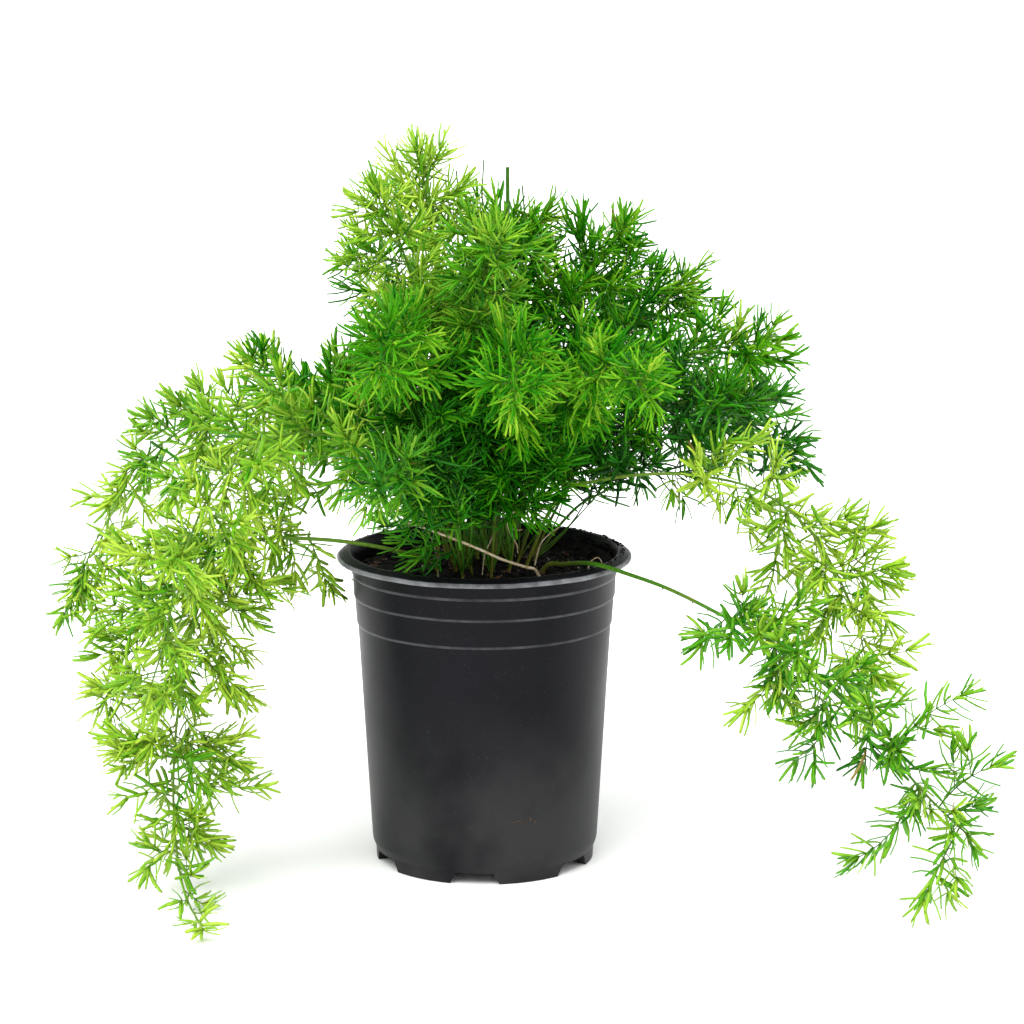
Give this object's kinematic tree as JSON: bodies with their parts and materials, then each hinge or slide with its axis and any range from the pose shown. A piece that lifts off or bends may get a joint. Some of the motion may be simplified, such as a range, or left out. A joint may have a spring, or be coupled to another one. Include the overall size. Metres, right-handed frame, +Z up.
{
  "type": "sprengeri asparagus fern in a nursery pot",
  "caption": "Arching and trailing asparagus fern with fine needle foliage, growing in a tapered black nursery pot that stands on a flat surface.",
  "frame": {"origin": "on the surface that the pot stands on, under the pot's axis, which is also the middle of the plant's spread", "axes": "+Z up along the pot's axis, -Y towards the viewer of the picture, +X to that viewer's right"},
  "size_m": [0.5434, 0.437, 0.4161],
  "materials": {
    "pot_plastic": "satin moulded black polypropylene",
    "potting_soil": "loose crumbly bark and peat mix",
    "foliage_light": "living yellow-green needles, softly glossy",
    "foliage_mid": "living mid-green needles, softly glossy",
    "foliage_dark": "living deep green needles, softly glossy",
    "dry_straw": "dry papery stem"
  },
  "bodies": {
    "root": {"pot": "pot_plastic", "soil": "potting_soil", "stem_left_trailing": "foliage_light", "stem_left_arch": "foliage_light", "stem_left_back": "foliage_light", "stem_left_upper": "foliage_mid", "stem_left_mid": "foliage_light", "stem_left_front": "foliage_light", "stem_top": "foliage_light", "stem_top_left": "foliage_light", "stem_top_left_low": "foliage_mid", "stem_top_mid": "foliage_mid", "stem_cut": "foliage_dark", "stem_top_right": "foliage_mid", "stem_right_up": "foliage_mid", "stem_front_top": "foliage_light", "stem_front_left": "foliage_mid", "stem_front_mid": "foliage_mid", "stem_front_right": "foliage_mid", "stem_front_low": "foliage_dark", "stem_right_dark": "foliage_dark", "stem_right_upper": "foliage_mid", "stem_right_arch": "foliage_light", "stem_right_trailing": "foliage_dark", "stem_back_left": "foliage_mid", "stem_back_mid": "foliage_mid", "stem_back_right": "foliage_dark", "stem_right_mid": "foliage_dark", "stem_back_trailing": "foliage_dark", "dry_stem": "dry_straw"}
  },
  "joints": []
}
